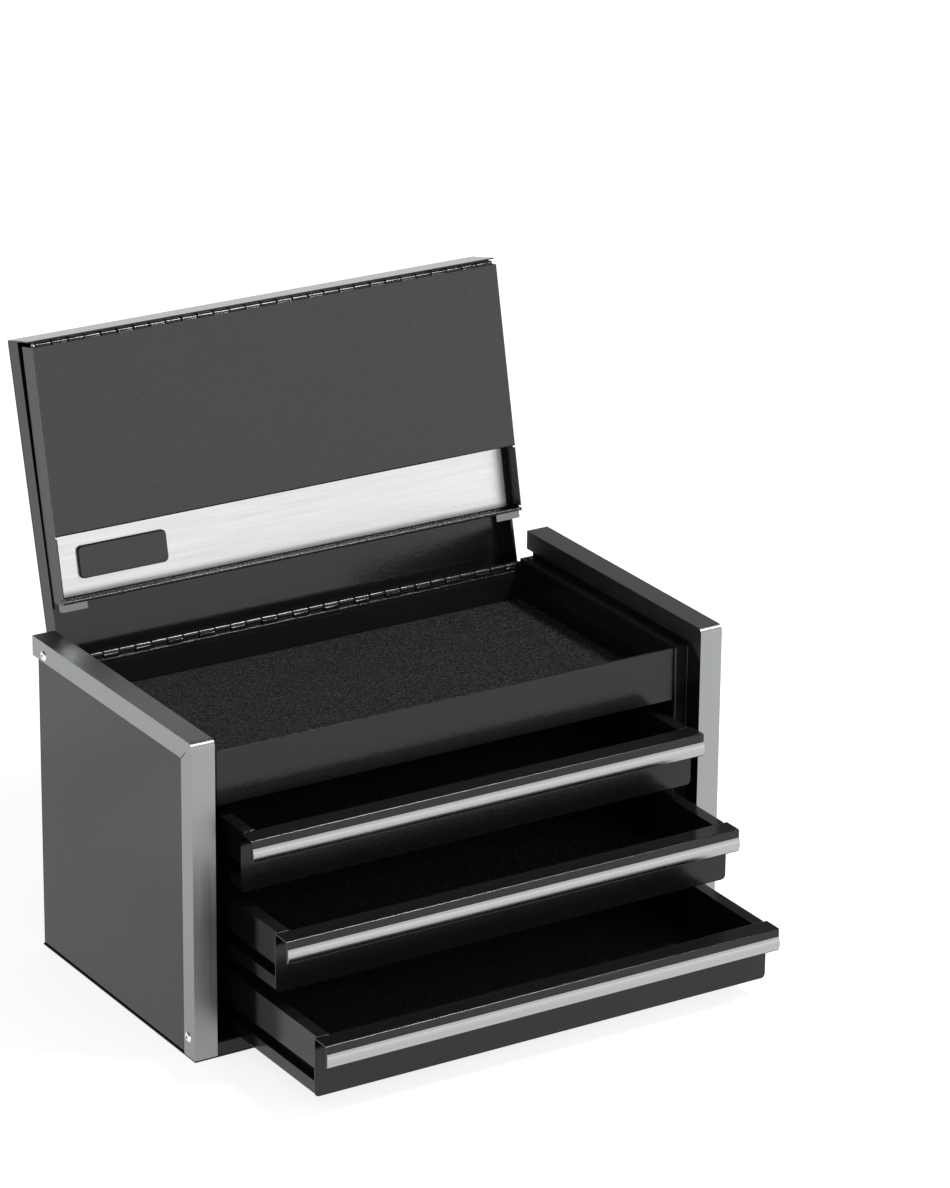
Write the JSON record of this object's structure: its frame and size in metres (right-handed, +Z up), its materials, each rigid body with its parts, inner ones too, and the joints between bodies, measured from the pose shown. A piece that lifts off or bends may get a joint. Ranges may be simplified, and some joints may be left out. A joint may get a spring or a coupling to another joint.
{
  "type": "machinist tool chest",
  "caption": "Bench-top steel tool chest with a hinged lid over a lined tray, a folding front panel and stacked lined drawers.",
  "frame": {"origin": "on the floor under the middle of the case", "axes": "+Z up, +X to the right seen from the front, +Y to the back"},
  "size_m": [0.3924, 0.3906, 0.3976],
  "materials": {
    "black_powder_coat": "fine textured satin powder coat",
    "satin_trim": "satin",
    "bright_rivet": "bright",
    "hinge_steel": "satin",
    "bright_band": "fine satin",
    "badge_plastic": "satin",
    "magnet_nickel": "bright nickel plate",
    "pull_metal": "satin",
    "foam_mat": "matt fine-celled foam sheet"
  },
  "bodies": {
    "case": {"base_pan": "black_powder_coat", "base_rail": "black_powder_coat", "left_side_panel": "black_powder_coat", "right_side_panel": "black_powder_coat", "left_inner_wall": "black_powder_coat", "right_inner_wall": "black_powder_coat", "back_panel": "black_powder_coat", "left_edge_trim": "satin_trim", "right_edge_trim": "satin_trim", "trim_rivets": "bright_rivet", "tray_pan": "black_powder_coat", "tray_mat": "foam_mat", "left_drawer_runners": "black_powder_coat", "right_drawer_runners": "black_powder_coat", "rear_hinge_case_leaf": "black_powder_coat"},
    "rear_pin": {"rear_hinge_pin": "hinge_steel"},
    "lid": {"lid_shell": "black_powder_coat", "rear_hinge_lid_leaf": "black_powder_coat", "front_hinge_lid_leaf": "black_powder_coat", "front_hinge_pin": "hinge_steel"},
    "front_panel": {"front_panel": "black_powder_coat", "bright_band": "bright_band", "badge_plate": "badge_plastic", "panel_magnets": "magnet_nickel", "front_hinge_panel_leaf": "black_powder_coat"},
    "upper_drawer": {"upper_drawer_box": "black_powder_coat", "upper_drawer_front": "black_powder_coat", "upper_pull_strip": "pull_metal", "upper_drawer_mat": "foam_mat"},
    "middle_drawer": {"middle_drawer_box": "black_powder_coat", "middle_drawer_front": "black_powder_coat", "middle_pull_strip": "pull_metal", "middle_drawer_mat": "foam_mat"},
    "lower_drawer": {"lower_drawer_box": "black_powder_coat", "lower_drawer_front": "black_powder_coat", "lower_pull_strip": "pull_metal", "lower_drawer_mat": "foam_mat"}
  },
  "joints": [
    {"name": "lid_on_case_knuckles", "type": "hinge", "parent": "case", "child": "rear_pin", "pos_m": [0, 0.1016, 0.1935], "axis": [-1, 0, 0], "range_deg": [-51.9, 0]},
    {"name": "lid_on_pin", "type": "hinge", "parent": "rear_pin", "child": "lid", "pos_m": [0, 0.1016, 0.1935], "axis": [-1, 0, 0], "range_deg": [-51.9, 0]},
    {"name": "panel_fold", "type": "hinge", "parent": "lid", "child": "front_panel", "pos_m": [0, 0.14162, 0.39415], "axis": [1, 0, 0], "range_deg": [-91.4, 0]},
    {"name": "upper_drawer_slide", "type": "slide", "parent": "case", "child": "upper_drawer", "axis": [0, -1, 0], "range_m": [-0.0402, 0.0998]},
    {"name": "middle_drawer_slide", "type": "slide", "parent": "case", "child": "middle_drawer", "axis": [0, -1, 0], "range_m": [-0.0827, 0.0573]},
    {"name": "lower_drawer_slide", "type": "slide", "parent": "case", "child": "lower_drawer", "axis": [0, -1, 0], "range_m": [-0.13, 0.01]}
  ]
}
